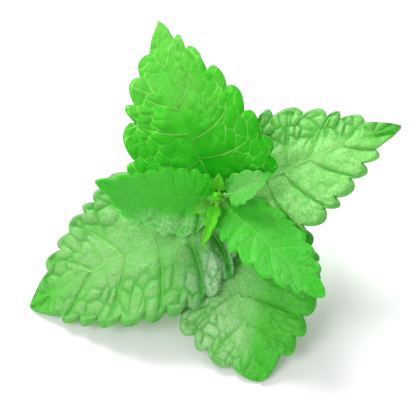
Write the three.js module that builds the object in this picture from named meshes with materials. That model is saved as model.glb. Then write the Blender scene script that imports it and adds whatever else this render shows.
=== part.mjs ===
// A cut mint sprig lying on a table: a square stem with leaves in crossed pairs round its growing tip.
// Millimetres, +Z up. The sprig rests on the tips of two large leaves and on the cut end of its stem.
import * as THREE from "three";

// ---- driving dimensions ----

// The stem leans forward, towards -Y, and a little to the left, so the rosette faces up and forward.
const LEAN_FORWARD = 33;
const LEAN_LEFT = 7;

// Distances along the stem are measured from the crown, where the largest leaves join.
const STEM_FOOT = -32.73;
const STEM_TOP = 9.2;
const STEM_HALF_WIDTH = 1.55;
const STEM_TOP_HALF_WIDTH = 1;
const STEM_CORNER = 4; // exponent of the rounded square section: higher is squarer
const STEM_GROOVE = 0.07; // how far each side of the square sinks, as a share of its half width
const NODE_SWELLING = 0.35;
const NODE_HALF_LENGTH = 2.2;
const STEM_NODES = [-19, -2, 6.2];
const STEM_SIDES = 20;
const STEM_TURN = 18; // the square's turn about the stem
const CUT_SLANT = 0.35; // slope of the cut end
const BUD_RADIUS = 1.3;
const BUD_LENGTH = 3.6;
const BUD_GROOVE = 0.3; // how far the seams between its folded leaves sink, as a share of its radius

const JOINT_GAP = 0.35; // clear space between a leaf stalk and the stem
const LEAF_THICKNESS = 0.7;
const MIDRIB_HEIGHT = 0.7;
const STALK_RADIUS = 0.85;
const STALK_STEPS = 3;
const LOBE = 0.24; // how far the two base lobes reach back, as a share of the length
const TOOTH_LEAN = 0.3; // forward lean of a tooth, as a share of its depth
const TOOTH_SKEW = 1.1; // above 1, a tooth is fullest nearer the tip than the base
const TOOTH_ROUNDNESS = 0.7; // below 1, a tooth is round with a narrow notch beside it
const VEIN_BOW = 0.08;
const SIDE_VEINS = 6;
const MIDRIB_CROWDING = 1.9; // above 1, the side veins leave the midrib closer together near the base

// How finely a blade is divided: shares of its margin, columns to a tooth, and rows from midrib to margin.
const BASE_START = 0.03;
const SMOOTH_BASE = 0.12;
const SMOOTH_TIP = 0.87;
const TIP_END = 0.985;
const BASE_COLUMNS = 3;
const TOOTH_COLUMNS = 4;
const TIP_COLUMNS = 4;
const WIDE_ROWS = [0, 0.08, 0.4, 0.75, 1];
const NARROW_ROWS = [0, 0.4, 1];
const MIDRIB_STEPS = 32;

// height: where the stalk meets the stem; azimuth: its turn round the stem, from the rosette's right hand;
// reach: stem axis to blade; spread: angle between stem and midrib; droop, sweep, twist: how far the midrib
// turns down, sideways and about itself from base to tip; yaw, tilt: turn and roll of the whole blade;
// fold: rise of each half from the midrib; curl: how far each half bends back down towards its margin.
const LEAVES = [
  {
    name: "leaf_bottom", height: -4.35, azimuth: 289, reach: 3, spread: 78.5, droop: 23.1, sweep: 1, twist: 4,
    yaw: -9, tilt: -1, length: 45, widthLeft: 22, widthRight: 20.5, taper: 0.4,
    foldLeft: 9, foldRight: 10, curlLeft: 13, curlRight: 17, teeth: 9, toothDepth: 2.7, quilt: 0.7,
  },
  {
    name: "leaf_left", height: -1, azimuth: 208.5, reach: 3, spread: 87.5, droop: 22, sweep: -6, twist: 7.5,
    yaw: -1, tilt: 7.5, length: 58.5, widthLeft: 22, widthRight: 22.5, taper: 0.72,
    foldLeft: 8, foldRight: 5, curlLeft: 14, curlRight: 9, teeth: 11, toothDepth: 2.3, quilt: 0.7,
  },
  {
    name: "leaf_right", height: -1.5, azimuth: 14, reach: 3, spread: 83, droop: 17.5, sweep: -8, twist: 1.5,
    yaw: 14, tilt: -5, length: 48.5, widthLeft: 19.5, widthRight: 18, taper: 1.1,
    foldLeft: 8, foldRight: 8, curlLeft: 23, curlRight: 17.5, teeth: 10, toothDepth: 2.7, quilt: 0.8,
  },
  {
    name: "leaf_top", height: 1.5, azimuth: 104.5, reach: 2.7, spread: 60, droop: 62, sweep: -2, twist: -12,
    yaw: 13, tilt: -7, length: 51.6, widthLeft: 19.3, widthRight: 23.5, taper: 1.2,
    foldLeft: 19, foldRight: 23, curlLeft: -2, curlRight: -3, teeth: 9, toothDepth: 3, quilt: 0.4,
  },
  {
    name: "leaf_inner_left", height: 5, azimuth: 167.5, reach: 3, spread: 62, droop: 12, sweep: -11, twist: 12,
    yaw: 14, tilt: -33, length: 30.6, widthLeft: 11.5, widthRight: 9.5, taper: 0.9,
    foldLeft: 10, foldRight: 17, curlLeft: 0, curlRight: 0, teeth: 9, toothDepth: 1.3, quilt: 0.25,
  },
  {
    name: "leaf_inner_right", height: 4.8, azimuth: 313, reach: 3, spread: 73, droop: 20, sweep: 6, twist: 12,
    yaw: 4, tilt: -22, length: 34.5, widthLeft: 10, widthRight: 8.5, taper: 0.5,
    foldLeft: 4, foldRight: 10, curlLeft: 14, curlRight: 11, teeth: 8, toothDepth: 1.7, quilt: 0.35,
  },
  {
    name: "leaf_small_right", height: 6.8, azimuth: 21, reach: 3, spread: 58, droop: 6, sweep: 0, twist: 0,
    yaw: 0, tilt: 0, length: 14, widthLeft: 4.4, widthRight: 4.4, taper: 0.8,
    foldLeft: 18, foldRight: 18, curlLeft: 5, curlRight: 5, teeth: 5, toothDepth: 0.7, quilt: 0.15,
  },
  {
    name: "leaf_small_left", height: 7, azimuth: 212, reach: 2.8, spread: 50, droop: 10, sweep: 0, twist: 0,
    yaw: 0, tilt: 0, length: 6, widthLeft: 2, widthRight: 2, taper: 0.6,
    foldLeft: 20, foldRight: 20, curlLeft: 0, curlRight: 0, teeth: 3, toothDepth: 0.5, quilt: 0.1,
  },
  {
    name: "leaf_tiny_front", height: 8.4, azimuth: 256, reach: 2.6, spread: 66, droop: 44, sweep: -10, twist: 0,
    yaw: 0, tilt: 0, length: 11.5, widthLeft: 2, widthRight: 2, taper: 1.1,
    foldLeft: 28, foldRight: 28, curlLeft: 0, curlRight: 0, teeth: 4, toothDepth: 0.6, quilt: 0,
  },
  {
    name: "leaf_tiny_back", height: 8.4, azimuth: 84, reach: 2.4, spread: 30, droop: 16, sweep: 0, twist: 0,
    yaw: 0, tilt: 0, length: 5.5, widthLeft: 1.8, widthRight: 1.8, taper: 0.6,
    foldLeft: 30, foldRight: 30, curlLeft: 0, curlRight: 0, teeth: 3, toothDepth: 0.3, quilt: 0,
  },
];

// ---- small maths ----

const radians = THREE.MathUtils.degToRad;

function vec(x, y, z) {
  return new THREE.Vector3(x, y, z);
}

// a + b * s
function along(a, b, s) {
  return a.clone().addScaledVector(b, s);
}

function turned(v, axis, degrees) {
  return v.clone().applyAxisAngle(axis, radians(degrees));
}

// ---- the stem's own axes: up it, to the rosette's right, and towards its back ----

const UP_STEM = vec(
  -Math.sin(radians(LEAN_LEFT)),
  -Math.sin(radians(LEAN_FORWARD)) * Math.cos(radians(LEAN_LEFT)),
  Math.cos(radians(LEAN_FORWARD)) * Math.cos(radians(LEAN_LEFT)),
).normalize();
const RIGHT = along(vec(1, 0, 0), UP_STEM, -UP_STEM.x).normalize();
const BACK = UP_STEM.clone().cross(RIGHT);

// ---- closed bodies ----

// A closed body from rings of points: neighbouring rings are joined by faces and both ends are capped.
function loft(rings) {
  const count = rings[0].length;
  const points = rings.flat();
  const faces = [];
  for (let i = 0; i < rings.length - 1; i++) {
    for (let j = 0; j < count; j++) {
      const a = i * count + j;
      const b = i * count + ((j + 1) % count);
      faces.push(a, b, b + count, a, b + count, a + count);
    }
  }
  const lastStart = (rings.length - 1) * count;
  for (const [start, first, second] of [[0, 1, 0], [lastStart, 0, 1]]) {
    const ring = points.slice(start, start + count);
    const hub = points.length;
    points.push(ring.reduce((sum, p) => sum.add(p), vec(0, 0, 0)).divideScalar(count));
    for (let j = 0; j < count; j++) {
      faces.push(hub, start + ((j + first) % count), start + ((j + second) % count));
    }
  }
  const geometry = new THREE.BufferGeometry().setFromPoints(points);
  geometry.setIndex(faces);
  return geometry;
}

// ---- a leaf's flat shape: x along the midrib, y out from it ----

// The line through the tooth tips at share t, 0 at the base and 1 at the tip: heart-shaped behind the base,
// widest in its first half, then narrowing faster for a larger taper.
function marginLine(leaf, width, t) {
  const lobe = LOBE * Math.sin(Math.PI * t) * (1 - t) ** 3;
  const rise = Math.sin(Math.PI * t) * (1 - t) ** leaf.taper;
  return new THREE.Vector2(
    leaf.length * ((1 - Math.cos(Math.PI * t)) / 2 - lobe),
    (width * rise) / highestRise(leaf.taper),
  );
}

// The largest value of sin(pi t) (1 - t)^taper.
function highestRise(taper) {
  let most = 0;
  for (let t = 0; t < 1; t += 0.005) {
    most = Math.max(most, Math.sin(Math.PI * t) * (1 - t) ** taper);
  }
  return most;
}

// The shares t of the leaf's columns, evenly spaced along the margin: a few over the smooth base, a fixed
// number to each tooth, and a few over the smooth pointed tip. Each column also has its place in its tooth,
// from 0 to 1, and the tooth's size. The tip is the first half of one last tooth.
function marginColumns(leaf) {
  const width = (leaf.widthLeft + leaf.widthRight) / 2;
  const samples = 200;
  const lengths = [0];
  for (let i = 1; i <= samples; i++) {
    const step = marginLine(leaf, width, i / samples).distanceTo(marginLine(leaf, width, (i - 1) / samples));
    lengths.push(lengths[i - 1] + step);
  }
  const shareAt = (part) => {
    const wanted = part * lengths[samples];
    const i = Math.min(Math.max(lengths.findIndex((s) => s >= wanted), 1), samples);
    return (i - 1 + (wanted - lengths[i - 1]) / (lengths[i] - lengths[i - 1])) / samples;
  };
  const columns = [];
  for (let i = 0; i < BASE_COLUMNS; i++) {
    const part = BASE_START + (SMOOTH_BASE - BASE_START) * (i / BASE_COLUMNS);
    columns.push({ t: shareAt(part), place: 0, size: 0 });
  }
  const toothed = (leaf.teeth - 1) * TOOTH_COLUMNS;
  for (let i = 0; i < toothed; i++) {
    const part = i / toothed;
    columns.push({
      t: shareAt(SMOOTH_BASE + (SMOOTH_TIP - SMOOTH_BASE) * part),
      place: (i % TOOTH_COLUMNS) / TOOTH_COLUMNS,
      size: Math.min(1, 0.4 + 3 * part) * (1 - 0.2 * part),
    });
  }
  for (let i = 0; i <= TIP_COLUMNS; i++) {
    const part = i / TIP_COLUMNS;
    columns.push({ t: shareAt(SMOOTH_TIP + (TIP_END - SMOOTH_TIP) * part), place: part / 2, size: 0.8 });
  }
  return columns;
}

// The flat point of a column at row b, 0 on the midrib and 1 on the margin, for a half of the given width.
// The column's line starts at the midrib and bends forward on its way out, as the side veins do.
function flatPoint(leaf, width, column, b) {
  const { t, place, size } = column;
  const edge = marginLine(leaf, width, t);
  const ahead = marginLine(leaf, width, t + 0.004).sub(marginLine(leaf, width, t - 0.004)).normalize();
  const out = new THREE.Vector2(-ahead.y, ahead.x);
  const bulge = Math.sin(Math.PI * place ** TOOTH_SKEW) ** TOOTH_ROUNDNESS;
  const depth = Math.min(leaf.toothDepth * size, 0.6 * edge.y);
  const tooth = out
    .multiplyScalar((bulge - 1) * depth)
    .addScaledVector(ahead, (bulge - 0.5) * depth * TOOTH_LEAN);
  const start = leaf.length * t ** MIDRIB_CROWDING;
  const point = new THREE.Vector2(start + (edge.x - start) * b, edge.y * b);
  point.x -= VEIN_BOW * edge.y * 4 * b * (1 - b);
  return point.addScaledVector(tooth, b ** 6);
}

// ---- a leaf in space ----

// The midrib as a row of stations, each with its point, its direction and the leaf's upward normal. It
// also runs on behind the base, where the heart-shaped lobes reach.
function midrib(leaf) {
  const outward = turned(RIGHT, UP_STEM, leaf.azimuth);
  const base = along(along(vec(0, 0, 0), UP_STEM, leaf.height), outward, leaf.reach);
  const spread = radians(leaf.spread);
  let ahead = UP_STEM.clone().multiplyScalar(Math.cos(spread)).addScaledVector(outward, Math.sin(spread));
  let up = UP_STEM.clone().multiplyScalar(Math.sin(spread)).addScaledVector(outward, -Math.cos(spread));
  ahead = turned(ahead, up, leaf.yaw);
  up = turned(up, ahead, leaf.tilt);
  const step = leaf.length / MIDRIB_STEPS;
  const walk = (sign, count) => {
    const stations = [];
    let here = { point: base, ahead, up };
    for (let i = 0; i < count; i++) {
      const side = here.up.clone().cross(here.ahead);
      const bend = (v) => {
        const twisted = turned(v, here.ahead, (sign * leaf.twist) / MIDRIB_STEPS);
        const swept = turned(twisted, here.up, (sign * leaf.sweep) / MIDRIB_STEPS);
        return turned(swept, side, (sign * leaf.droop) / MIDRIB_STEPS);
      };
      const next = { ahead: bend(here.ahead), up: bend(here.up) };
      const middle = here.ahead.clone().add(next.ahead).normalize();
      next.point = along(here.point, middle, sign * step);
      stations.push(next);
      here = next;
    }
    return stations;
  };
  const behind = walk(-1, 4).reverse();
  const stations = [...behind, { point: base, ahead, up }, ...walk(1, MIDRIB_STEPS + 2)];
  return { stations, step, first: -behind.length };
}

// The point of the blade over the flat point (x, y), and its normal there. Each half rises from the midrib
// by its fold angle and bends back down by its curl over its width.
function bladePoint(leaf, rib, x, y) {
  const place = x / rib.step - rib.first;
  const i = Math.min(Math.max(Math.floor(place), 0), rib.stations.length - 2);
  const [a, b] = [rib.stations[i], rib.stations[i + 1]];
  const share = place - i;
  const point = a.point.clone().lerp(b.point, share);
  const ahead = a.ahead.clone().lerp(b.ahead, share).normalize();
  const up = a.up.clone().lerp(b.up, share).normalize();
  const left = y >= 0;
  const side = up.clone().cross(ahead).multiplyScalar(left ? 1 : -1);
  const fold = radians(left ? leaf.foldLeft : leaf.foldRight);
  const curl = radians(left ? leaf.curlLeft : leaf.curlRight) / (left ? leaf.widthLeft : leaf.widthRight);
  const out = Math.abs(y);
  const slope = fold - curl * out;
  const mean = fold - (curl * out) / 2;
  point.addScaledVector(side, out * Math.cos(mean)).addScaledVector(up, out * Math.sin(mean));
  const normal = up.multiplyScalar(Math.cos(slope)).addScaledVector(side, -Math.sin(slope));
  return { point, normal };
}

function bladeRings(leaf, rib) {
  const rows = leaf.length > 20 ? WIDE_ROWS : NARROW_ROWS;
  const across = [...rows.toReversed(), ...rows.slice(1).map((b) => -b)];
  return marginColumns(leaf).map((column) => {
    const upper = [];
    const lower = [];
    for (const row of across) {
      const b = Math.abs(row);
      const flat = flatPoint(leaf, row < 0 ? leaf.widthRight : leaf.widthLeft, column, b);
      const { point, normal } = bladePoint(leaf, rib, flat.x, row < 0 ? -flat.y : flat.y);
      const pillow = Math.abs(Math.sin(Math.PI * SIDE_VEINS * column.t)) ** 0.8 * Math.sin(Math.PI * b);
      const thickness = LEAF_THICKNESS * Math.min(1, leaf.length / 20);
      const ridge = b === 0 ? MIDRIB_HEIGHT * (leaf.length / 50) * (1 - 0.8 * column.t) : 0;
      upper.push(along(point, normal, thickness / 2 + leaf.quilt * pillow));
      lower.push(along(point, normal, leaf.quilt * pillow - thickness / 2 - ridge));
    }
    return [...upper, ...lower.reverse()];
  });
}

// The short round stalk from beside the stem to the blade's base, as rings with the same number of points as
// the blade's: those of its upper half from left to right, then those of its lower half from right to left.
function stalkRings(leaf, rib, count) {
  const outward = turned(RIGHT, UP_STEM, leaf.azimuth);
  const size = Math.min(1, leaf.length / 30) ** 0.6;
  const start = along(
    along(vec(0, 0, 0), UP_STEM, leaf.height),
    outward,
    stemHalfWidth(leaf.height) * 1.2 + JOINT_GAP,
  );
  const base = rib.stations[-rib.first];
  const side = base.up.clone().cross(base.ahead);
  const across = along(side, outward, -side.dot(outward)).normalize();
  const up = outward.clone().cross(across);
  const radius = STALK_RADIUS * size;
  const upper = count / 2;
  const rings = [];
  for (let i = 0; i < STALK_STEPS; i++) {
    const centre = start.clone().lerp(base.point, (0.8 * i) / STALK_STEPS);
    rings.push(
      [...Array(count).keys()].map((k) => {
        const turn = (Math.PI * (k + 0.5)) / upper;
        return along(along(centre, across, radius * Math.cos(turn)), up, radius * Math.sin(turn));
      }),
    );
  }
  return rings;
}

function leafBody(leaf) {
  const rib = midrib(leaf);
  const blade = bladeRings(leaf, rib);
  return loft([...stalkRings(leaf, rib, blade[0].length), ...blade]);
}

// ---- the stem and the bud ----

function stemHalfWidth(height) {
  const share = Math.max(0, (height + 6) / (STEM_TOP + 6));
  const swelling = STEM_NODES.reduce(
    (sum, node) => sum + NODE_SWELLING * Math.exp(-(((height - node) / NODE_HALF_LENGTH) ** 2)),
    0,
  );
  return STEM_HALF_WIDTH + (STEM_TOP_HALF_WIDTH - STEM_HALF_WIDTH) * share + swelling;
}

// A ring round the stem at the given height: a rounded square with a shallow groove along each side.
function stemRing(height, halfWidth, groove) {
  const ring = [];
  for (let i = 0; i < STEM_SIDES; i++) {
    const turn = (2 * Math.PI * i) / STEM_SIDES;
    const [c, s] = [Math.cos(turn), Math.sin(turn)];
    const square = (Math.abs(c) ** STEM_CORNER + Math.abs(s) ** STEM_CORNER) ** (-1 / STEM_CORNER);
    const radius = halfWidth * square * (1 - groove * Math.max(0, Math.cos(4 * turn)) ** 2);
    const outward = turned(RIGHT, UP_STEM, (turn * 180) / Math.PI + STEM_TURN);
    const slant = CUT_SLANT * radius * Math.cos(turn) * Math.max(0, 1 - (height - STEM_FOOT) / 3);
    ring.push(along(along(vec(0, 0, 0), UP_STEM, height + slant), outward, radius));
  }
  return ring;
}

function stemBody() {
  const rings = [];
  const count = 17;
  for (let i = 0; i <= count; i++) {
    const height = STEM_FOOT + (STEM_TOP - STEM_FOOT) * (i / count);
    rings.push(stemRing(height, stemHalfWidth(height), STEM_GROOVE));
  }
  return loft(rings);
}

// The closed growing tip: a small four-sided egg standing on the end of the stem.
function budBody() {
  const rings = [];
  for (let i = 0; i <= 6; i++) {
    const share = i / 6;
    const radius = BUD_RADIUS * Math.sin(Math.PI * (0.2 + 0.78 * share)) ** 0.8;
    rings.push(stemRing(STEM_TOP + JOINT_GAP + BUD_LENGTH * share, radius, BUD_GROOVE));
  }
  return loft(rings);
}

// ---- the assembly ----

const LEAF_GREEN = new THREE.MeshStandardMaterial({ color: 0x4fae3c, roughness: 0.5, metalness: 0 });
const YOUNG_GREEN = new THREE.MeshStandardMaterial({ color: 0x86cf4e, roughness: 0.5, metalness: 0 });
const STEM_GREEN = new THREE.MeshStandardMaterial({ color: 0x79b65a, roughness: 0.55, metalness: 0 });

const sprig = new THREE.Group();
sprig.name = "mint_sprig";

function add(name, geometry, material) {
  geometry.computeVertexNormals();
  const mesh = new THREE.Mesh(geometry, material.clone());
  mesh.name = name;
  sprig.add(mesh);
}

add("stem", stemBody(), STEM_GREEN);
add("bud", budBody(), YOUNG_GREEN);
for (const leaf of LEAVES) {
  add(leaf.name, leafBody(leaf), leaf.length > 20 ? LEAF_GREEN : YOUNG_GREEN);
}

// The origin is under the middle of the sprig, on the table it lies on.
const extent = new THREE.Box3().setFromObject(sprig, true);
const shift = vec(-(extent.min.x + extent.max.x) / 2, -(extent.min.y + extent.max.y) / 2, -extent.min.z);
for (const mesh of sprig.children) {
  mesh.geometry.translate(shift.x, shift.y, shift.z);
}

export default sprig;
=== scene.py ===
"""A cut sprig of mint lying on a table, with quilted leaves, veins, stalks, square stem and growing tip.

Every piece is a surface worked out on a grid of two parameters, in millimetres from the crown, where the
largest leaves join the stem, and is then placed in the row frame in metres.
"""

import logging
import math
from dataclasses import dataclass, field
from enum import Enum
from typing import Any

import bpy
import numpy as np
from mathutils import Matrix, Vector


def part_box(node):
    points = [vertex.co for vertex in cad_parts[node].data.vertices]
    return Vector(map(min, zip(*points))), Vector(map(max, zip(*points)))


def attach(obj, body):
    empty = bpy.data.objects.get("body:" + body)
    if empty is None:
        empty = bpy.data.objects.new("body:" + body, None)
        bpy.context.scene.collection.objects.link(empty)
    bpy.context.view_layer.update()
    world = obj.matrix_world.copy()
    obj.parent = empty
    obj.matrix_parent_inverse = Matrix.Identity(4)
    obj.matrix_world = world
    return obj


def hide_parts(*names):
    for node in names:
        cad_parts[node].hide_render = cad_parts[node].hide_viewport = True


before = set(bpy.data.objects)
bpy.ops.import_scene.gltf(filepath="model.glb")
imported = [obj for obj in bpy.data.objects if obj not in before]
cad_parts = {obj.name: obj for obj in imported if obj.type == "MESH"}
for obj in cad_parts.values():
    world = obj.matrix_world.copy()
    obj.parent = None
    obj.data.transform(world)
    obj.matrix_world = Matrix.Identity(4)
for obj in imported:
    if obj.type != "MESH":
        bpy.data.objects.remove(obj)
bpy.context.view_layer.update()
LOG = logging.getLogger("mint_sprig")
MM = 0.001

Array = np.ndarray


class Slot(Enum):
    """The record's material slots."""

    LEAF = "leaf"
    YOUNG = "young_leaf"
    STEM = "stem"


# ---- small vector maths ----


def unit(v: Array) -> Array:
    """The vectors along the last axis, scaled to length one."""
    return v / np.maximum(np.linalg.norm(v, axis=-1, keepdims=True), 1e-12)


def turned(v: Array, axis: Array, degrees: float) -> Array:
    """A vector turned about an axis by the right-hand rule (Rodrigues' formula).

    Args:
        v: the vector.
        axis: the axis, of length one.
        degrees: the angle.

    Returns:
        v cos a + (axis x v) sin a + axis (axis . v) (1 - cos a).
    """
    a = math.radians(degrees)
    return v * math.cos(a) + np.cross(axis, v) * math.sin(a) + axis * (axis @ v) * (1 - math.cos(a))


def smooth(low: float, high: float, x: Array) -> Array:
    """The smooth step from 0 at low to 1 at high: 3 s^2 - 2 s^3 of the clipped share s."""
    s = np.clip((x - low) / (high - low), 0, 1)
    return s * s * (3 - 2 * s)


def seeded(name: str) -> np.random.Generator:
    """A random generator that is always the same for a name."""
    return np.random.default_rng(sum((i + 1) * ord(c) for i, c in enumerate(name)))


# ---- the stem's own axes ----


@dataclass(frozen=True)
class Lean:
    """How the stem leans: forward, towards -Y, and to the left."""

    forward: float = 33
    left: float = 7

    @property
    def up(self) -> Array:
        """The direction up the stem."""
        f, s = math.radians(self.forward), math.radians(self.left)
        return np.array([-math.sin(s), -math.sin(f) * math.cos(s), math.cos(f) * math.cos(s)])

    @property
    def right(self) -> Array:
        """The direction across the stem that is nearest +X."""
        return unit(np.array([1.0, 0, 0]) - self.up * self.up[0])

    def outward(self, azimuth: float) -> Array:
        """The direction square to the stem at a turn round it, from the right hand."""
        return turned(self.right, self.up, azimuth)


LEAN = Lean()


# ---- meshes ----


def added(name: str, data: bpy.types.ID) -> bpy.types.Object:
    """A new object that holds the data, in the scene."""
    made = bpy.data.objects.new(name, data)
    bpy.context.scene.collection.objects.link(made)
    return made


@dataclass
class Surface:
    """Points, faces and named values at the points, in millimetres from the crown."""

    points: Array
    faces: list[list[int]]
    values: dict[str, Array] = field(default_factory=dict)

    def joined(self, other: "Surface") -> "Surface":
        """This surface and another as one, with missing values as zeros."""
        start = len(self.points)
        names = set(self.values) | set(other.values)
        empty = {n: (np.zeros(start), np.zeros(len(other.points))) for n in names}
        return Surface(
            np.concatenate([self.points, other.points]),
            self.faces + [[start + i for i in f] for f in other.faces],
            {
                n: np.concatenate([self.values.get(n, empty[n][0]), other.values.get(n, empty[n][1])])
                for n in names
            },
        )

    def build(self, name: str, crown: Array) -> bpy.types.Object:
        """Makes the mesh object.

        Args:
            name: the piece's name.
            crown: where the crown is in the row frame, in metres.

        Returns:
            The object, at the origin with its place in its mesh.
        """
        mesh = bpy.data.meshes.new(name)
        mesh.from_pydata((self.points * MM + crown).tolist(), [], self.faces)
        for key, value in self.values.items():
            layer = mesh.attributes.new(key, "FLOAT", "POINT")
            layer.data.foreach_set("value", value.astype(np.float32))
        mesh.polygons.foreach_set("use_smooth", np.ones(len(mesh.polygons), bool))
        mesh.validate()
        return added(name, mesh)


def loft(rings: Array, values: dict[str, Array] | None = None) -> Surface:
    """A closed surface through rings of points.

    Quads join each ring to the next, all the way round, and a fan to the middle point closes each end.

    Args:
        rings: points of shape (rings, points to a ring, 3).
        values: named values of shape (rings, points to a ring).

    Returns:
        The surface, with its faces outward when the rings run right-handed along their path.
    """
    count, sides, _ = rings.shape
    grid = np.arange(count * sides).reshape(count, sides)
    after = np.roll(grid, -1, axis=1)
    quads = np.stack([grid[:-1], after[:-1], after[1:], grid[1:]], -1).reshape(-1, 4)
    hubs = np.stack([rings[0].mean(0), rings[-1].mean(0)])
    first = np.stack([np.full(sides, count * sides), after[0], grid[0]], -1)
    last = np.stack([np.full(sides, count * sides + 1), grid[-1], after[-1]], -1)
    named = {
        k: np.concatenate([v.reshape(-1), [v[0].mean(), v[-1].mean()]]) for k, v in (values or {}).items()
    }
    return Surface(
        np.concatenate([rings.reshape(-1, 3), hubs]),
        quads.tolist() + first.tolist() + last.tolist(),
        named,
    )


# ---- the stem's profile, which the stalks also need ----


@dataclass(frozen=True)
class StemShape:
    """Sizes of the square stem, along its own axis from the crown."""

    foot: float = -32.73
    top: float = 9.2
    half_width: float = 1.55
    top_half_width: float = 1.0
    corner: float = 4.0
    groove: float = 0.07
    turn: float = 18.0
    slant: float = 0.35
    nodes: tuple[float, ...] = (-19.0, -2.0, 6.2)
    swelling: float = 0.35
    node_half_length: float = 2.2

    def half(self, height: Array) -> Array:
        """Half the width at a height: a taper to the top and a bell-shaped swelling at each node."""
        share = np.maximum(0, (height + 6) / (self.top + 6))
        bells = sum(np.exp(-(((height - n) / self.node_half_length) ** 2)) for n in self.nodes)
        return self.half_width + (self.top_half_width - self.half_width) * share + self.swelling * bells

    def ring(self, height: Array, half: Array, sides: int, groove: float) -> Array:
        """Rings round the stem.

        A rounded square in polar form, half / (|cos|^n + |sin|^n)^(1/n), sinking by the groove in the
        middle of each side, and slanting near the foot.

        Args:
            height: heights of shape (rings,).
            half: half widths of shape (rings,).
            sides: points to a ring.
            groove: depth of the grooves as a share of the half width.

        Returns:
            Points of shape (rings, sides, 3).
        """
        a = 2 * np.pi * np.arange(sides) / sides
        square = (np.abs(np.cos(a)) ** self.corner + np.abs(np.sin(a)) ** self.corner) ** (-1 / self.corner)
        radius = np.multiply.outer(half, square * (1 - groove * np.maximum(0, np.cos(4 * a)) ** 2))
        fade = np.maximum(0, 1 - (height - self.foot) / 3)
        lift = height[:, None] + self.slant * radius * np.cos(a) * fade[:, None]
        across, deep = LEAN.outward(self.turn), LEAN.outward(self.turn + 90)
        out = np.cos(a)[:, None] * across + np.sin(a)[:, None] * deep
        return lift[..., None] * LEAN.up + radius[..., None] * out


STEM = StemShape()


# ---- leaves ----


@dataclass(frozen=True)
class LeafGrain:
    """How finely a leaf is cut and quilted, and the form of its teeth, side veins and base lobes."""

    tooth_columns: int = 26
    base_columns: int = 26
    rows: int = 56
    thickness: float = 0.34
    side_veins: int = 7
    base_start: float = 0.012
    smooth_base: float = 0.12
    smooth_tip: float = 0.87
    tip_end: float = 0.997
    tip_columns: int = 36
    tooth_lean: float = 0.3
    tooth_skew: float = 1.1
    tooth_roundness: float = 0.7
    lobe: float = 0.24
    vein_bow: float = 0.1
    crowding: float = 1.7
    midrib_steps: int = 32


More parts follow.
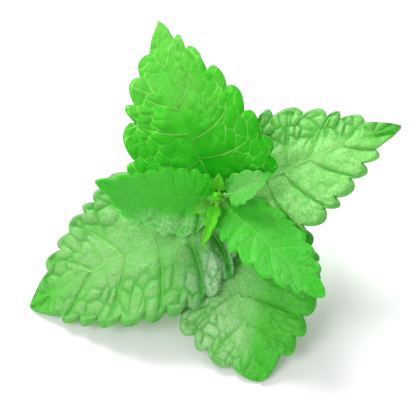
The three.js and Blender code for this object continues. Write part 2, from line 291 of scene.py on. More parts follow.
@dataclass(frozen=True)
class LeafShape:
    """One leaf: where it joins the stem, how its midrib runs, and its blade.

    Height is where it joins, azimuth its turn round the stem, reach the way from the stem's axis to the
    blade, and spread the angle between stem and midrib. Droop, sweep and twist turn the midrib down,
    sideways and about itself from base to tip; yaw and tilt turn and roll the whole blade. Fold lifts each
    half from the midrib and curl bends it back down over its width; wave is how much the blade undulates.
    Quilt is the height of the pillows between the veins, cells how far round ones break up the long ones,
    and net how plainly the small veins between them show. The painted sheen is how much each half is
    whitened and paled by painted sheen, bare the share of its length without it, and the lobe glint how
    strongly each base lobe folds, is painted with whitish glints and is painted with shadow in its folds,
    out to the share frost_to of the length.
    """

    name: str
    height: float
    azimuth: float
    reach: float
    spread: float
    droop: float
    length: float
    widths: tuple[float, float]
    taper: float
    folds: tuple[float, float]
    teeth: int
    tooth_depth: float
    quilt: float
    sweep: float = 0
    twist: float = 0
    yaw: float = 0
    tilt: float = 0
    curls: tuple[float, float] = (0, 0)
    cells: tuple[float, float] = (1.0, 1.0)
    # Painted sheen on each half: how much the pillows' crowns are whitened and the blade paled.
    wax: tuple[float, float] = (0.3, 0.3)
    # How strongly each base lobe folds, is painted with whitish glints and is painted with shadow in its
    # folds.
    frost: tuple[float, float] = (0.0, 0.0)
    wave: float = 0.5
    grain: LeafGrain = LeafGrain()
    # Share of each half's length without painted sheen.
    bare: tuple[float, float] = (0.0, 0.0)
    # How far along the base lobe reaches, with its folds and painted glints.
    frost_to: float = 0.38
    net: float = 0.5

    def margin_line(self, width: float, t: Array) -> Array:
        """The line through the tooth tips.

        Along the midrib it runs as (1 - cos pi t) / 2 of the length, set back near the base by the lobe;
        its distance from the midrib is sin(pi t) (1 - t)^taper, scaled to the width.

        Args:
            width: the half width of this side.
            t: shares from base to tip.

        Returns:
            Flat points of shape (..., 2).
        """
        s = np.linspace(0, 1, 400)
        most = (np.sin(np.pi * s) * (1 - s) ** self.taper).max()
        rest = np.clip(1 - t, 0, 1)
        lobe = self.grain.lobe * np.sin(np.pi * t) * rest**3
        x = self.length * ((1 - np.cos(np.pi * t)) / 2 - lobe)
        return np.stack([x, width * np.sin(np.pi * t) * rest**self.taper / most], -1)

    def columns(self, side: int) -> tuple[Array, Array, Array, Array, Array]:
        """The columns of the blade's grid, nearly evenly spaced along the margin.

        The teeth of a half are shifted by up to a quarter of a tooth from those of the other, and the
        smooth tip is the first half of one last tooth.

        Args:
            side: 0 for the left half, 1 for the right.

        Returns:
            The shares t from base to tip at the midrib and at the margin, the place in the tooth, the
            tooth's size and its number.
        """
        g = self.grain
        s = np.linspace(0, 1, 801)
        line = self.margin_line(sum(self.widths) / 2, s)
        run = np.concatenate([[0], np.cumsum(np.linalg.norm(np.diff(line, axis=0), axis=1))])
        run /= run[-1]
        teeth = self.teeth - 1
        count = teeth * g.tooth_columns
        part = np.arange(count) / count
        shift = seeded(self.name + "spacing" + str(side)).uniform(-0.24, 0.24, teeth + 1) / teeth
        shift[[0, -1]] = 0
        moved = part + np.interp(part, np.arange(teeth + 1) / teeth, shift)
        end = np.arange(g.tip_columns + 1) / g.tip_columns
        base = np.linspace(g.base_start, g.smooth_base, g.base_columns, endpoint=False)
        tip = g.smooth_tip + (g.tip_end - g.smooth_tip) * end
        toothed = g.smooth_tip - g.smooth_base
        shares = [
            np.interp(np.concatenate([base, g.smooth_base + toothed * q, tip]), run, s) for q in (part, moved)
        ]
        none = np.zeros(len(base))
        tooth, column = np.divmod(np.arange(count), g.tooth_columns)
        place = np.concatenate([none, column / g.tooth_columns, end / 2])
        grown = np.minimum(1, 0.4 + 3 * part) * (1 - 0.2 * part)
        size = np.concatenate([none, grown, np.full(len(end), 0.8)])
        number = np.concatenate([none.astype(int), tooth, np.full(len(end), teeth)])
        return shares[0], shares[1], place, size, number

    def flat(self, side: int, b: Array) -> Array:
        """The flat blade on one side of the midrib.

        Each column's line starts on the midrib at length t^(crowding (1 - t^4 / 2)) and runs out to the
        margin, bowed towards the tip as a side vein is. At the margin it is moved by the tooth: in by the
        depth times (1 - bulge) and forward by its lean, fading inward as b^6, where bulge is
        sin(pi place^skew)^roundness.

        Args:
            side: 0 for the left half, 1 for the right.
            b: rows, 0 on the midrib and 1 on the margin.

        Returns:
            Flat points of shape (columns, rows, 2), both halves with y above 0.
        """
        root, t, place, size, number = self.columns(side)
        width = self.widths[side]
        edge = self.margin_line(width, t)
        ahead = unit(self.margin_line(width, t + 0.004) - self.margin_line(width, t - 0.004))
        out = np.stack([-ahead[:, 1], ahead[:, 0]], -1)
        varied = 1 + 0.22 * seeded(self.name + str(side)).uniform(-1, 1, self.teeth + 1)
        bulge = np.sin(np.pi * place**self.grain.tooth_skew) ** self.grain.tooth_roundness
        depth = np.minimum(self.tooth_depth * size * varied[number], 0.6 * edge[:, 1])
        tooth = out * ((bulge - 1) * depth)[:, None]
        tooth += ahead * ((bulge - 0.5) * depth * self.grain.tooth_lean)[:, None]
        start = self.length * root ** (self.grain.crowding * (1 - 0.5 * root**4))
        x = start[:, None] + (edge[:, 0] - start)[:, None] * b
        x -= self.grain.vein_bow * edge[:, 1][:, None] * 4 * b * (1 - b)
        flat = np.stack([x, edge[:, 1][:, None] * b], -1)
        return flat + tooth[:, None, :] * (b**6)[None, :, None]

    def midrib(self) -> tuple[Array, Array, Array, Array]:
        """The midrib as stations from behind the base to the tip, each turned a little from the last.

        Returns:
            Distances along the midrib, points, directions and the blade's upward normals.
        """
        outward = LEAN.outward(self.azimuth)
        base = LEAN.up * self.height + outward * self.reach
        a = math.radians(self.spread)
        ahead = LEAN.up * math.cos(a) + outward * math.sin(a)
        up = LEAN.up * math.sin(a) - outward * math.cos(a)
        ahead = turned(ahead, up, self.yaw)
        up = turned(up, ahead, self.tilt)
        steps = self.grain.midrib_steps
        step = self.length / steps

        def walk(sign: int, count: int) -> list[tuple[Array, Array, Array]]:
            """The stations one way from the base."""
            made, here = [], (base, ahead, up)
            for _ in range(count):
                point, forward, normal = here
                side = np.cross(normal, forward)
                bent = []
                for v in (forward, normal):
                    v = turned(v, forward, sign * self.twist / steps)
                    v = turned(v, normal, sign * self.sweep / steps)
                    bent.append(turned(v, side, sign * self.droop / steps))
                here = (point + unit(forward + bent[0]) * sign * step, bent[0], bent[1])
                made.append(here)
            return made

        behind = walk(-1, 4)[::-1]
        stations = behind + [(base, ahead, up)] + walk(1, steps + 2)
        s = (np.arange(len(stations)) - len(behind)) * step
        return s, *(np.array([station[i] for station in stations]) for i in range(3))

    def placed(self, x: Array, y: Array) -> tuple[Array, Array]:
        """The blade over flat points.

        A half rises from the midrib at its fold angle, which lessens evenly by its curl over its width, so
        at distance y it has turned by fold - curl y and its mean turn up to there is fold - curl y / 2.

        Args:
            x: distances along the midrib.
            y: distances out from it, above 0 on the left.

        Returns:
            Points and normals of shape (..., 3).
        """
        s, points, directions, ups = self.midrib()

        def at(stations: Array) -> Array:
            """The stations' vectors at the distances x."""
            return np.stack([np.interp(x, s, stations[:, i]) for i in range(3)], -1)

        point, ahead, up = at(points), unit(at(directions)), unit(at(ups))
        left = y >= 0
        side = np.cross(up, ahead) * np.where(left, 1, -1)[..., None]
        fold = np.radians(np.where(left, *self.folds))
        curl = np.radians(np.where(left, self.curls[0] / self.widths[0], self.curls[1] / self.widths[1]))
        out = np.abs(y)
        slope, mean = fold - curl * out, fold - curl * out / 2
        point = point + side * (out * np.cos(mean))[..., None] + up * (out * np.sin(mean))[..., None]
        return point, unit(up * np.cos(slope)[..., None] - side * np.sin(slope)[..., None])


@dataclass
class Quilting:
    """The relief of one half of a leaf: side veins, forked veins and a net of small veins between pillows.

    Widths are in millimetres on a leaf 50 mm long and shrink with the leaf.
    """

    leaf: LeafShape
    side: int
    cell: float = 3.0
    jitter: float = 0.42
    vein_width: float = 0.2
    net_width: float = 0.17
    valley_width: float = 0.5
    dome_width: float = 0.6
    crease_width: float = 0.25

    @property
    def scale(self) -> float:
        """The leaf's size beside one 50 mm long, but not less than 0.45."""
        return max(self.leaf.length / 50, 0.45)

    def line(self, distance: Array, width: float) -> Array:
        """A soft line where the distance is small: exp(-(distance / width)^2)."""
        return np.exp(-((distance / (width * self.scale)) ** 2))

    def cells(self, flat: Array, rng: np.random.Generator) -> tuple[Array, Array, Array]:
        """A net of irregular cells, in rows that slant and sway across the blade.

        Each cell's centre is moved at random within its square. The distance to a cell's border is half the
        difference between the distances to the two nearest centres.

        Args:
            flat: flat points of shape (columns, rows, 2).
            rng: the generator of the half.

        Returns:
            The distance to the border, a value of each cell's own from about 0 to 1, and how strongly the
            cells show, which sways over the blade between 0.6 and 1.
        """
        cell = self.cell * self.scale
        x, y = flat[..., 0] / self.scale, flat[..., 1] / self.scale
        start = rng.uniform(0, 2 * np.pi, 4)
        p = (0.6 * x + 0.8 * y + 0.9 * np.sin(y / 2.1 + start[0])) * self.scale / (1.25 * cell)
        q = (0.6 * y - 0.8 * x + 0.9 * np.sin(x / 2.6 + start[1])) * self.scale / (0.95 * cell)
        patch = 0.8 + 0.2 * np.sin(x / 5.5 + start[2]) * np.sin(y / 4.2 + start[3])
        shifts = rng.uniform(-self.jitter, self.jitter, (64, 64, 2))
        first, second = np.full(x.shape, 1e9), np.full(x.shape, 1e9)
        tone = np.zeros(x.shape)
        for dp in range(-2, 3):
            for dq in range(-2, 3):
                i, j = np.floor(p).astype(int) + dp, np.floor(q).astype(int) + dq
                shift = shifts[i % 64, j % 64]
                across = p - i - 0.5 - shift[..., 0]
                d = np.hypot(across, q - j - 0.5 - shift[..., 1] - 0.5 * (i % 2)) * cell
                second = np.minimum(second, np.maximum(first, d))
                tone = np.where(d < first, shift[..., 0] * 1.2 + 0.5, tone)
                first = np.minimum(first, d)
        return (second - first) / 2, tone, patch

    def relief(self, flat: Array, b: Array) -> dict[str, Array]:
        """Heights and vein strengths over the half.

        A column belongs to the strip between two side veins; the distance to the nearer vein is its share
        of the strip times the strip's width there. The strips rise as long domes, which the cells break up
        into round ones of the form 1 - exp(-(d / r)^n). At the margin each tooth is a dome of its own,
        sin(pi place)^0.7.

        Args:
            flat: flat points of shape (columns, rows, 2).
            b: rows.

        Returns:
            By name: the pillow's height from 0 to about 1; the fold, -1 on a side vein and 1 between two;
            the tooth's dome at the margin, which darkens the teeth as painted shade; the strength of the main
            and of the small veins; and how deep a point lies in a crease, which darkens it as painted shade.
        """
        t, _, place, size, _ = self.leaf.columns(self.side)
        rng = seeded(self.leaf.name + "veins" + str(self.side))
        count = self.leaf.grain.side_veins
        stops = (np.arange(1, count + 1) + rng.uniform(-0.2, 0.2, count)) / (count + 1)
        strip = np.interp(t, np.concatenate([[0], stops, [1]]), np.arange(count + 2))
        wide = np.linalg.norm(np.gradient(flat, axis=0), axis=-1)
        wide = wide / np.maximum(np.gradient(strip), 1e-6)[:, None]
        share = strip - np.floor(strip)
        near = np.abs(strip - np.round(strip))[:, None] * wide
        fork = np.abs(share - 0.5)[:, None] * wide + 4 * (1 - smooth(0.45, 0.7, b))[None, :]
        border, tone, patch = self.cells(flat, rng)
        broken = self.leaf.cells[self.side] * smooth(0.15, 0.6, b)[None, :] * patch

        main = self.line(near, self.vein_width) * (1 - 0.7 * smooth(0.55, 0.9, b))[None, :]
        main = np.maximum(main, 0.5 * self.line(fork, self.vein_width))
        small = self.line(border, self.net_width) * (0.35 + 0.65 * broken)

        valley = (1 - smooth(0.55, 1.0, b))[None, :] * 0.3 + 0.7
        valley = valley * np.exp(-((near / (self.valley_width * self.scale)) ** 1.1))
        valley = valley * smooth(0.08, 0.5, b)[None, :]
        dome = self.dome_width * self.scale
        long_dome = (1 - valley) * (0.95 + 0.2 * np.sin(np.pi * share) - 0.5 * share)[:, None]
        forked = 1 - np.exp(-((fork / dome) ** 1.3))
        round_dome = (1 - np.exp(-((border / dome) ** 1.3))) * (0.45 + 0.9 * tone)
        pillow = long_dome * (1 - broken + broken * (0.12 + 0.88 * round_dome) * (0.8 + 0.2 * forked))

        scallop = np.where(size > 0, 0.2 + 0.8 * np.sin(np.pi * place) ** 0.7, 0.8)[:, None]
        edge = smooth(0.87, 0.94, b)[None, :]
        pillow = pillow * (1 - edge) + 0.8 * scallop * edge * (1 - 0.6 * smooth(0.94, 1.0, b))[None, :]
        # Painted shade: this crease value only darkens the colour, along the cell borders, the grooves by the
        # side veins and the notches between teeth.
        crease = self.line(border, self.crease_width) * broken * (1 - edge) * smooth(0.2, 0.55, b)[None, :]
        along_veins = 0.9 * self.line(near, 0.96 * self.crease_width) * smooth(0.12, 0.4, b)[None, :]
        crease = np.maximum(crease, along_veins)
        crease = np.maximum(crease, np.maximum(1 - 1.6 * scallop, 0) * edge)

        tip = smooth(0.8, 0.95, t)[:, None]
        return {
            "pillow": pillow * (1 - 0.6 * tip) + 0.35 * tip,
            "fold": -np.cos(2 * np.pi * strip)[:, None] * np.ones_like(near),
            # This tooth value only darkens the teeth, as painted shade.
            "tooth": smooth(0.84, 0.93, b)[None, :] * np.clip(1.6 * scallop - 0.5, 0, 1),
            "main": main * (1 - tip),
            "small": small * (1 - tip),
            "crease": np.clip(crease * (1 - tip), 0, 1),
        }


@dataclass
class HalfBlade:
    """One half of a blade: its middle sheet, the heights of both skins over it, and named values."""

    points: Array
    normals: Array
    top: Array
    low: Array
    values: dict[str, Array]


@dataclass
class Leaf:
    """A blade with its midrib, veins and stalk, as one closed skin.

    Heights are in millimetres on a leaf 50 mm long and shrink with the leaf.
    """

    shape: LeafShape
    slot: Slot
    finish: "LeafFinish"
    midrib_ridge: float = 0.95
    vein_ridge: float = 0.30
    net_ridge: float = 0.10
    midrib_line: float = 0.22
    vein_line: float = 0.05
    net_groove: float = 0.03
    lobe_folds: float = 0.8
    clearance: float = 0.03
    stalk_radius: float = 0.8
    stalk_rings: int = 28

    @property
    def scale(self) -> float:
        """The leaf's length beside 50 mm."""
        return self.shape.length / 50

    def rows(self) -> Array:
        """Rows from midrib to margin, closer together at both."""
        s = np.linspace(0, 1, self.shape.grain.rows)
        return s - 0.05 * np.sin(2 * np.pi * s)

    def swells(self, side: int, flat: Array, t: Array, b: Array) -> Array:
        """The slow wave of the margin and soft lumps over the whole half.

        The wave is a sine along the margin that fades inward as b^2.5. The lumps are products of two
        swaying sines, in one turned direction for each of several widths, and a fifth as high as wide.

        Args:
            side: 0 for the left half, 1 for the right.
            flat: flat points of shape (columns, rows, 2).
            t: the columns' shares from base to tip.
            b: rows.

        Returns:
            Heights of shape (columns, rows).
        """
        rng = seeded(self.shape.name + "wave" + str(side))
        turns, start = rng.uniform(2.2, 3.2), rng.uniform(0, 2 * np.pi)
        wave = self.shape.wave * np.sin(2 * np.pi * turns * t + start)[:, None] * (b**2.5)[None, :]
        wave = wave * smooth(0, 0.15, t)[:, None]
        x, y = flat[..., 0], flat[..., 1]
        for width in (3.0, 2.3, 1.6, 1.1, 0.8):
            turn, long, deep = rng.uniform(0, 6.28, 3)
            u = (x * np.cos(turn) + y * np.sin(turn)) / (width * self.scale)
            v = (y * np.cos(turn) - x * np.sin(turn)) / (width * self.scale)
            swell = np.sin(u + 0.8 * np.sin(v + deep)) * np.sin(v + 0.8 * np.sin(u + long))
            wave = wave + 0.2 * width * self.shape.wave * self.scale * swell * smooth(0.03, 0.3, b)[None, :]
        return wave

    def wax(self, side: int, t: Array, b: Array) -> Array:
        """How much painted sheen a half has.

        The painted sheen of the half blends with the other's beside the midrib, over a strip that is widest
        in the middle of the leaf. It is missing on the bare share at the base and fades at the tip.

        Args:
            side: 0 for the left half, 1 for the right.
            t: the columns' shares from base to tip.
            b: rows.

        Returns:
            Values of shape (columns, rows).
        """
        shape = self.shape
        # Painted sheen, blended between the halves.
        mean = sum(shape.wax) / 2
        blend = (0.12 + 0.4 * np.clip(np.sin(np.pi * (t - 0.3) / 0.55), 0, 1))[:, None]
        wax = mean + (shape.wax[side] - mean) * smooth(0, 1, b[None, :] / blend)
        if shape.bare[side]:
            wax = wax * smooth(shape.bare[side] - 0.14, shape.bare[side] + 0.1, t)[:, None]
        return wax * (1 - 0.8 * smooth(0.7, 0.92, t))[:, None]

    def half(self, side: int) -> HalfBlade:
        """One half of the blade.

        The upper skin rises with the pillows, the swells and the folds of the base lobe, and has a fine
        raised line over the midrib. The lower skin has ridges under the midrib and all the veins.

        Args:
            side: 0 for the left half, 1 for the right.

        Returns:
            The half, from the midrib to the margin.
        """
        shape, scale, b = self.shape, self.scale, self.rows()
        t, *_ = shape.columns(side)
        flat = shape.flat(side, b)
        y = flat[..., 1]
        points, normals = shape.placed(flat[..., 0], (1 if side == 0 else -1) * np.maximum(y, 1e-6))
        relief = Quilting(shape, side).relief(flat, b)
        pillow, main, small = relief["pillow"], relief["main"], relief["small"]
        rib = np.exp(-((y / (0.55 * max(scale, 0.35))) ** 2)) * (1 - 0.7 * t)[:, None]
        line = np.exp(-((y / (0.5 * max(scale, 0.35))) ** 2)) * (1 - 0.5 * t)[:, None]
        # The base lobe: it folds, is painted with whitish glints and is painted with shadow in its folds.
        lobe = (1 - smooth(shape.frost_to - 0.1, shape.frost_to + 0.08, t))[:, None] * shape.frost[side]
        lobe = lobe * smooth(0.15, 0.5, b)[None, :]
        thick = 0.5 * shape.grain.thickness * min(1, 0.45 + 0.55 * scale) * (1 - 0.45 * b**8)[None, :]
        lift = shape.quilt * (pillow - 0.35) + self.swells(side, flat, t, b)
        lift = lift - 0.5 * scale * smooth(0.9, 1.0, b)[None, :]
        lift = lift + self.lobe_folds * scale * lobe * relief["fold"]
        above = self.midrib_line * line + self.vein_line * main - self.net_groove * small
        below = self.midrib_ridge * rib + self.vein_ridge * main + self.net_ridge * small
        whole = np.ones_like(pillow)
        # Among these values are painted shade, in the creases, the base lobe's folds and on the teeth, and
        # painted sheen on each half and painted glints on the base lobe.
        values = {
            "pillow": pillow,
            "crease": np.maximum(relief["crease"], 1.6 * lobe * (0.5 - 0.5 * relief["fold"]) ** 5),
            "vein": np.clip(np.maximum(np.maximum(main, shape.net * small), line), 0, 1),
            "out": whole * b[None, :],
            "along": whole * t[:, None],
            "wax": self.wax(side, t, b),
            "tooth": relief["tooth"],
            "frost": lobe * smooth(0.35, 0.65, b)[None, :],
        }
        top, low = lift + thick + scale * above, lift - thick - scale * below
        return HalfBlade(points, normals, top, low, values)

    def blade(self, table: float) -> Surface:
        """The blade's closed skin: the upper and lower skins of both halves, joined round the margin.

        Where the lower skin would sink into the table, both are raised to lie on it.

        Args:
            table: the height of the table, in millimetres from the crown.

        Returns:
            The skin.
        """
        left, right = self.half(0), self.half(1)

        def across(a: Array, c: Array) -> Array:
            """Left margin to right margin, with the midrib once."""
            return np.concatenate([a[:, ::-1], c[:, 1:]], 1)

        point, normal = across(left.points, right.points), across(left.normals, right.normals)
        seam = self.shape.grain.rows - 1
        normal[:, seam : seam + 1] = unit(left.normals[:, :1] + right.normals[:, :1])
        upper = point + normal * across(left.top, right.top)[..., None]
        lower = point + normal * across(left.low, right.low)[..., None]
        sunk = np.maximum(0, table + self.clearance - np.minimum(lower[..., 2], upper[..., 2]))
        upper[..., 2] += sunk
        lower[..., 2] += sunk
        values = {}
        for key in left.values:
            row = across(left.values[key], right.values[key])
            values[key] = np.concatenate([row, row[:, ::-1]], 1)
        values["under"] = np.concatenate([np.zeros(upper.shape[:2]), np.ones(lower.shape[:2])], 1)
        return loft(np.concatenate([upper, lower[:, ::-1]], 1), values)

    def stalk(self) -> Surface:
        """The round stalk, on a quadratic curve straight out from the stem to under the midrib."""
        shape = self.shape
        size = min(1, shape.length / 30) ** 0.6
        outward = LEAN.outward(shape.azimuth)
        root = LEAN.up * (shape.height - 0.3 * size)
        start = root + outward * (float(STEM.half(np.array(shape.height))) * 0.95)
        (end,), (up1,) = shape.placed(np.array([4.5 * size]), np.array([0.0]))
        middle = root + outward * shape.reach
        finish = end - 0.3 * size * up1
        s = np.linspace(0, 1, self.stalk_rings)[:, None]
        path = (1 - s) ** 2 * start + 2 * s * (1 - s) * middle + s**2 * finish
        ahead = unit(2 * (1 - s) * (middle - start) + 2 * s * (finish - middle))
        side = unit(np.cross(up1, ahead))
        up = np.cross(ahead, side)
        a = 2 * np.pi * np.arange(self.stalk_rings) / self.stalk_rings
        flare = 1 + 0.9 * np.exp(-((s / 0.35) ** 2))
        radius = self.stalk_radius * size * (1 - 0.6 * s) * flare
        ring = side[:, None] * np.cos(a)[None, :, None] + up[:, None] * np.sin(a)[None, :, None] * 0.85
        rings = path[:, None] + ring * radius[:, :, None]
        whole = np.ones(rings.shape[:2])
        return loft(rings, {"vein": 0.75 * whole, "under": 0.45 * whole})

    def build(self, crown: Array) -> bpy.types.Object:
        """Makes, dresses and places the leaf.

        Args:
            crown: where the crown is in the row frame, in metres.

        Returns:
            The leaf, riding on the one body in place of its plain solid.
        """
        made = self.blade(-crown[2] / MM).joined(self.stalk()).build("mint_" + self.shape.name, crown)
        made.data.materials.append(self.finish.material("leaf_skin_" + self.shape.name))
        return registered(made, self.shape.name)


def registered(made: bpy.types.Object, node: str) -> bpy.types.Object:
    """Rides a piece on the one body, in place of a plain solid, and reports it."""
    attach(made, "root")
    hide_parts(node)
    LOG.info("%s: %d points, %d faces", made.name, len(made.data.vertices), len(made.data.polygons))
    return made


# ---- stem and bud ----


@dataclass
class Stem:
    """The square stem with grooved sides, swollen nodes, and its cut end.

    The plain solid of the stem has fewer rings and sides, which settle where its lowest corner is.
    """

    shape: StemShape
    finish: "StemFinish"
    rings: int = 220
    sides: int = 96
    plain_rings: int = 18
    plain_sides: int = 20
    ripple: float = 0.012
    dish: float = 0.35

    def crown(self) -> Array:
        """Where the crown is in the row frame: the stem's plain solid's lowest corner less this shape's."""
        height = np.linspace(self.shape.foot, self.shape.top, self.plain_rings)
        plain = self.shape.ring(height, self.shape.half(height), self.plain_sides, self.shape.groove)
        low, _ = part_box("stem")
        return np.array(low) - plain.reshape(-1, 3).min(0) * MM

    def build(self, crown: Array) -> bpy.types.Object:
        """Makes the stem: rings up its length, and rings shrinking to the middle over the hollowed cut."""
        shape = self.shape
        height = np.linspace(shape.foot, shape.top, self.rings)
        side = shape.ring(height, shape.half(height), self.sides, shape.groove)
        rng = seeded("stem")
        a = 2 * np.pi * np.arange(self.sides) / self.sides
        ripple = np.zeros(side.shape[:2])
        for count in (7, 11, 16, 23):
            strength, climb, start = rng.uniform(0.2, 1), rng.uniform(0.05, 0.3), rng.uniform(0, 6)
            ripple += strength * np.sin(count * a[None, :] + height[:, None] * climb + start)
        centre = side.mean(1, keepdims=True)
        side = side + unit(side - centre) * (self.ripple * ripple)[..., None]
        shares = np.array([0.0, 0.35, 0.6, 0.78, 0.9, 0.97])[:, None, None]
        middle = side[0].mean(0)
        dish = LEAN.up * (self.dish * (1 - shares**2))
        cut = middle + (side[0] - middle) * shares + dish * np.minimum(1, 2 - 2 * shares)
        rings = np.concatenate([cut, side])
        ends = np.concatenate([np.ones(len(cut)), np.zeros(len(side))])
        radial = np.concatenate([shares[:, 0, 0], np.ones(len(side))])
        values = {
            "cut": np.broadcast_to(ends[:, None], rings.shape[:2]),
            "radial": np.broadcast_to(radial[:, None], rings.shape[:2]),
            "edge": np.broadcast_to((np.abs(np.sin(2 * a)) ** 3)[None, :], rings.shape[:2]),
        }
        made = loft(rings, values).build("mint_stem", crown)
        made.data.materials.append(self.finish.material("stem_skin"))
        return registered(made, "stem")


@dataclass
class Bud:
    """The closed growing tip: folded leaf tips packed round the end of the stem."""

    shape: StemShape
    finish: "LeafFinish"
    radius: float = 1.3
    length: float = 3.6
    gap: float = 0.35

    def build(self, crown: Array) -> bpy.types.Object:
        """An egg of radius sin(pi (0.2 + 0.79 s))^0.8 on the stem's axis, pinched by winding seams."""
        s = np.linspace(0, 1, 60)
        a = 2 * np.pi * np.arange(72) / 72
        radius = self.radius * np.sin(np.pi * (0.2 + 0.79 * s)) ** 0.8
        seam = np.abs(np.sin(2 * a[None, :] + 1.6 * s[:, None])) ** 0.5
        r = radius[:, None] * (0.66 + 0.34 * seam)
        height = self.shape.top + self.gap + self.length * s
        across, deep = LEAN.outward(self.shape.turn), LEAN.outward(self.shape.turn + 90)
        out = np.cos(a)[:, None] * across + np.sin(a)[:, None] * deep
        rings = height[:, None, None] * LEAN.up + r[..., None] * out
        values = {
            "vein": 0.8 - 0.8 * seam,
            "along": np.broadcast_to(s[:, None], seam.shape),
            "out": np.full(seam.shape, 0.3),
            "pillow": 0.5 * seam,
        }
        made = loft(rings, values).build("mint_bud", crown)
        made.data.materials.append(self.finish.material("bud_skin"))
        return registered(made, "bud")


# ---- finishes ----


class Value:
    """A number that varies over a surface: a node's output, with arithmetic written as expressions."""

    def __init__(self, tree: "Tree", socket: bpy.types.NodeSocket) -> None:
        """Keeps the tree and the output socket."""
        self.tree = tree
        self.socket = socket

    def _with(self, operation: str, first: Any, second: Any) -> "Value":
        """A Math node on two values."""
        return self.tree.node("ShaderNodeMath", {"operation": operation}, {0: first, 1: second})

    def __add__(self, other: Any) -> "Value":
        """self + other."""
        return self._with("ADD", self, other)

    def __radd__(self, other: Any) -> "Value":
        """other + self."""
        return self._with("ADD", other, self)

    def __sub__(self, other: Any) -> "Value":
        """self - other."""
        return self._with("SUBTRACT", self, other)

    def __rsub__(self, other: Any) -> "Value":
        """other - self."""
        return self._with("SUBTRACT", other, self)

    def __mul__(self, other: Any) -> "Value":
        """self * other."""
        return self._with("MULTIPLY", self, other)

    def __rmul__(self, other: Any) -> "Value":
        """other * self."""
        return self._with("MULTIPLY", other, self)


class Tree:
    """A material's nodes."""

    def __init__(self, name: str) -> None:
        """Starts an empty material of that name."""
        self.material = bpy.data.materials.new(name)
        self.material.use_nodes = True
        self.nodes = self.material.node_tree.nodes
        self.links = self.material.node_tree.links
        self.nodes.clear()

    def node(
        self,
        kind: str,
        settings: dict[str, Any] | None = None,
        inputs: dict[Any, Any] | None = None,
        out: Any = 0,
    ) -> Value:
        """Adds a node.

        Args:
            kind: the node's type.
            settings: its settings, set first.
            inputs: its sockets' values or links, by name or number.
            out: the output to return.

        Returns:
            That output.
        """
        made = self.nodes.new(kind)
        for key, value in (settings or {}).items():
            setattr(made, key, value)
        for key, value in (inputs or {}).items():
            if isinstance(value, Value):
                self.links.new(value.socket, made.inputs[key])
            else:
                made.inputs[key].default_value = value
        return Value(self, made.outputs[out])

    def attribute(self, name: str) -> Value:
        """A value stored on the mesh."""
        return self.node("ShaderNodeAttribute", {"attribute_name": name}, out="Fac")

    def place(self) -> Value:
        """Object coordinates, which are the row frame's, in metres."""
        return self.node("ShaderNodeTexCoord", out="Object")

    def noise(self, scale: float, detail: float = 3, rough: float = 0.55) -> Value:
        """Soft noise between about 0.25 and 0.75."""
        wanted = {"Vector": self.place(), "Scale": scale, "Detail": detail, "Roughness": rough}
        return self.node("ShaderNodeTexNoise", {}, wanted)

    def step(self, x: Value, low: float, high: float) -> Value:
        """0 below low and 1 above high, smoothly between."""
        return self.node(
            "ShaderNodeMapRange",
            {"interpolation_type": "SMOOTHSTEP"},
            {"Value": x, "From Min": low, "From Max": high},
        )

    def mix(self, share: Any, first: Any, second: Any) -> Value:
        """Two colours mixed by a share."""
        made = self.nodes.new("ShaderNodeMix")
        made.data_type = "RGBA"
        for socket, value in ((made.inputs[0], share), (made.inputs[6], first), (made.inputs[7], second)):
            if isinstance(value, Value):
                self.links.new(value.socket, socket)
            else:
                socket.default_value = value if isinstance(value, float) else (*value, 1.0)
        return Value(self, made.outputs[2])

    def finished(self, shader: Value) -> bpy.types.Material:
        """Links the shader to the output and returns the material."""
        output = self.nodes.new("ShaderNodeOutputMaterial")
        self.links.new(shader.socket, output.inputs["Surface"])
        return self.material


Colour = tuple[float, float, float]

# How many patches or cells to a metre each noise and the net of fine cells has.
BROAD = 65.0
MIDDLE = 330.0
FINE = 1300.0
NET = 1050.0
STEM_BROAD = 160.0
STEM_FINE = 1500.0


